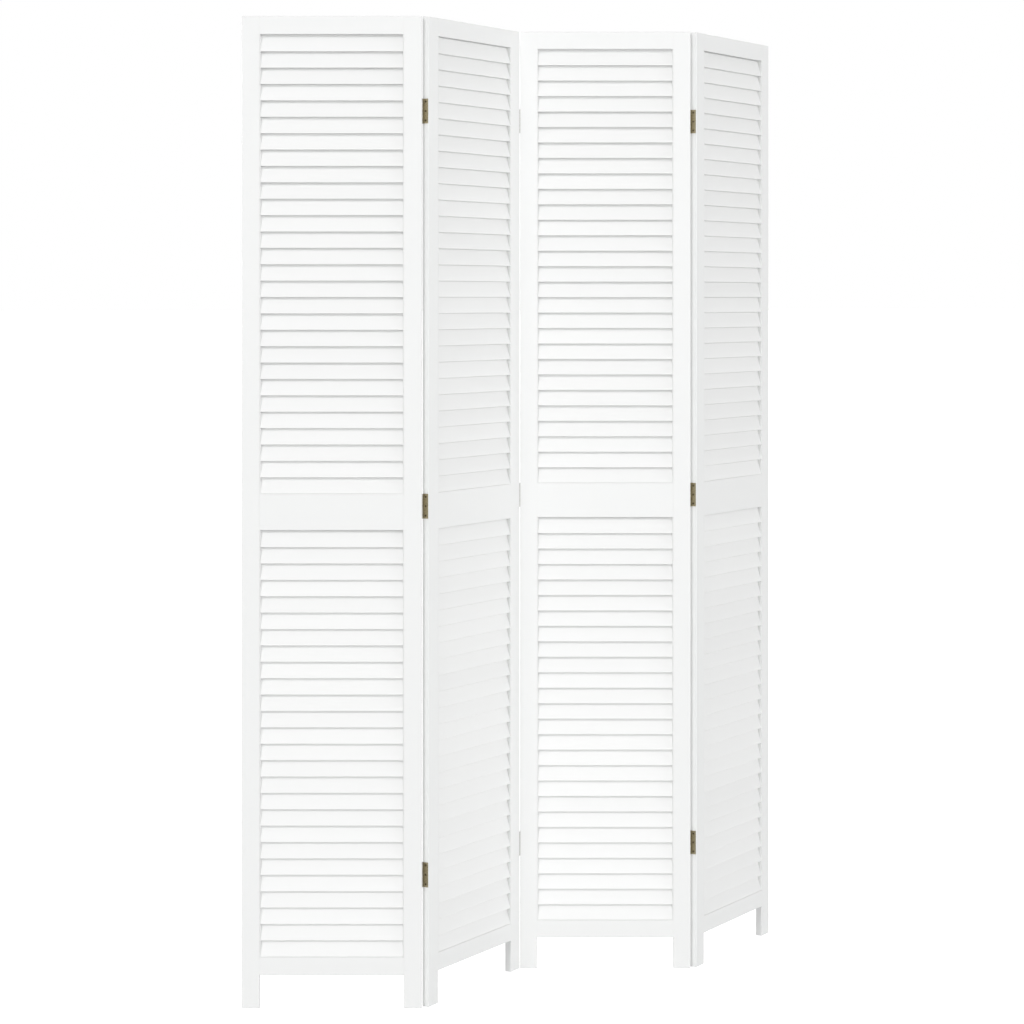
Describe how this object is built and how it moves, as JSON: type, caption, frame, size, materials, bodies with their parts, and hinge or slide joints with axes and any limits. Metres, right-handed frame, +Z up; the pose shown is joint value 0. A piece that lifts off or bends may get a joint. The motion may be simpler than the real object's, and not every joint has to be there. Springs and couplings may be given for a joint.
{
  "type": "folding room divider screen",
  "caption": "Free-standing folding screen of hinged louvred panels in white painted wood, with brass butt hinges between the panels, standing in a zigzag.",
  "frame": {"origin": "on the floor, in the middle of the screen's footprint in its zigzag rest pose", "axes": "+Z up; +X along the row of panels, from panel 1 to panel 4; -Y is the front, the side that the two outer folds point to"},
  "size_m": [1.4232, 0.2114, 2.2],
  "materials": {
    "painted_frame": "satin white paint over wood, edges eased",
    "painted_louvres": "satin white paint over thin slats",
    "hinge_brass": "antique brass, dull, a little brighter on worn edges",
    "hinge_pin": "plain drawn steel"
  },
  "bodies": {
    "panel_1": {"panel_1_left_stile": "painted_frame", "panel_1_right_stile": "painted_frame", "panel_1_bottom_rail": "painted_frame", "panel_1_middle_rail": "painted_frame", "panel_1_top_rail": "painted_frame", "panel_1_lower_louvres": "painted_louvres", "panel_1_upper_louvres": "painted_louvres", "hinge_1_2_bottom_left_leaf": "hinge_brass", "hinge_1_2_bottom_pin": "hinge_pin", "hinge_1_2_middle_left_leaf": "hinge_brass", "hinge_1_2_middle_pin": "hinge_pin", "hinge_1_2_top_left_leaf": "hinge_brass", "hinge_1_2_top_pin": "hinge_pin"},
    "panel_2": {"panel_2_left_stile": "painted_frame", "panel_2_right_stile": "painted_frame", "panel_2_bottom_rail": "painted_frame", "panel_2_middle_rail": "painted_frame", "panel_2_top_rail": "painted_frame", "panel_2_lower_louvres": "painted_louvres", "panel_2_upper_louvres": "painted_louvres", "hinge_1_2_bottom_right_leaf": "hinge_brass", "hinge_1_2_middle_right_leaf": "hinge_brass", "hinge_1_2_top_right_leaf": "hinge_brass", "hinge_2_3_bottom_left_leaf": "hinge_brass", "hinge_2_3_bottom_pin": "hinge_pin", "hinge_2_3_middle_left_leaf": "hinge_brass", "hinge_2_3_middle_pin": "hinge_pin", "hinge_2_3_top_left_leaf": "hinge_brass", "hinge_2_3_top_pin": "hinge_pin"},
    "panel_3": {"panel_3_left_stile": "painted_frame", "panel_3_right_stile": "painted_frame", "panel_3_bottom_rail": "painted_frame", "panel_3_middle_rail": "painted_frame", "panel_3_top_rail": "painted_frame", "panel_3_lower_louvres": "painted_louvres", "panel_3_upper_louvres": "painted_louvres", "hinge_2_3_bottom_right_leaf": "hinge_brass", "hinge_2_3_middle_right_leaf": "hinge_brass", "hinge_2_3_top_right_leaf": "hinge_brass", "hinge_3_4_bottom_left_leaf": "hinge_brass", "hinge_3_4_bottom_pin": "hinge_pin", "hinge_3_4_middle_left_leaf": "hinge_brass", "hinge_3_4_middle_pin": "hinge_pin", "hinge_3_4_top_left_leaf": "hinge_brass", "hinge_3_4_top_pin": "hinge_pin"},
    "panel_4": {"panel_4_left_stile": "painted_frame", "panel_4_right_stile": "painted_frame", "panel_4_bottom_rail": "painted_frame", "panel_4_middle_rail": "painted_frame", "panel_4_top_rail": "painted_frame", "panel_4_lower_louvres": "painted_louvres", "panel_4_upper_louvres": "painted_louvres", "hinge_3_4_bottom_right_leaf": "hinge_brass", "hinge_3_4_middle_right_leaf": "hinge_brass", "hinge_3_4_top_right_leaf": "hinge_brass"}
  },
  "joints": [
    {"name": "fold_1_2", "type": "hinge", "parent": "panel_1", "child": "panel_2", "pos_m": [-0.35631, -0.09215, 1.1], "axis": [0, 0, 1], "range_deg": [-59.5, 120.5]},
    {"name": "fold_2_3", "type": "hinge", "parent": "panel_2", "child": "panel_3", "pos_m": [0, 0.09215, 1.1], "axis": [0, 0, -1], "range_deg": [-59.5, 120.5]},
    {"name": "fold_3_4", "type": "hinge", "parent": "panel_3", "child": "panel_4", "pos_m": [0.35631, -0.09215, 1.1], "axis": [0, 0, 1], "range_deg": [-59.5, 120.5]}
  ]
}
